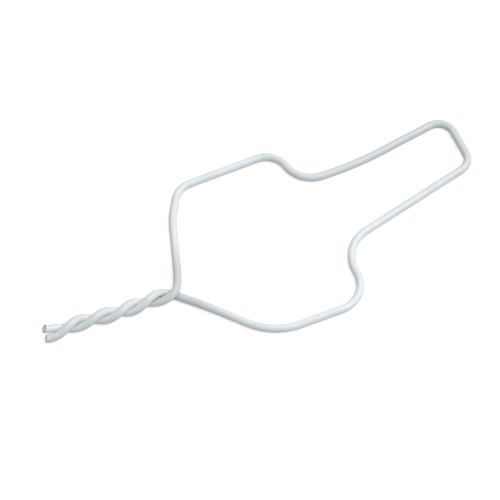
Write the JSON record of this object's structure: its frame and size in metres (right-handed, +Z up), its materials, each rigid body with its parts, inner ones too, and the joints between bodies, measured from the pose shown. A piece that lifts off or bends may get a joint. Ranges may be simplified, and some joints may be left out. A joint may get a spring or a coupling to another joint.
{
  "type": "wire wall anchor",
  "caption": "Flat loop of plastic-coated steel wire with a wide six-sided body and a narrow squared neck, its two ends twisted into a straight tail for embedding.",
  "frame": {"origin": "centre of the footprint, on the surface that the anchor lies flat on", "axes": "+X from the twisted tail to the squared tip, +Y to the side of the leg that crosses on top where the twist begins, +Z up off the surface"},
  "size_m": [0.2, 0.089, 0.0073],
  "materials": {
    "galvanised_steel": "drawn and galvanised wire, seen only at the two cut ends",
    "white_polymer": "smooth white polymer coating with a soft satin gloss"
  },
  "bodies": {
    "root": {"steel_core": "galvanised_steel", "white_coating": "white_polymer"}
  },
  "joints": []
}
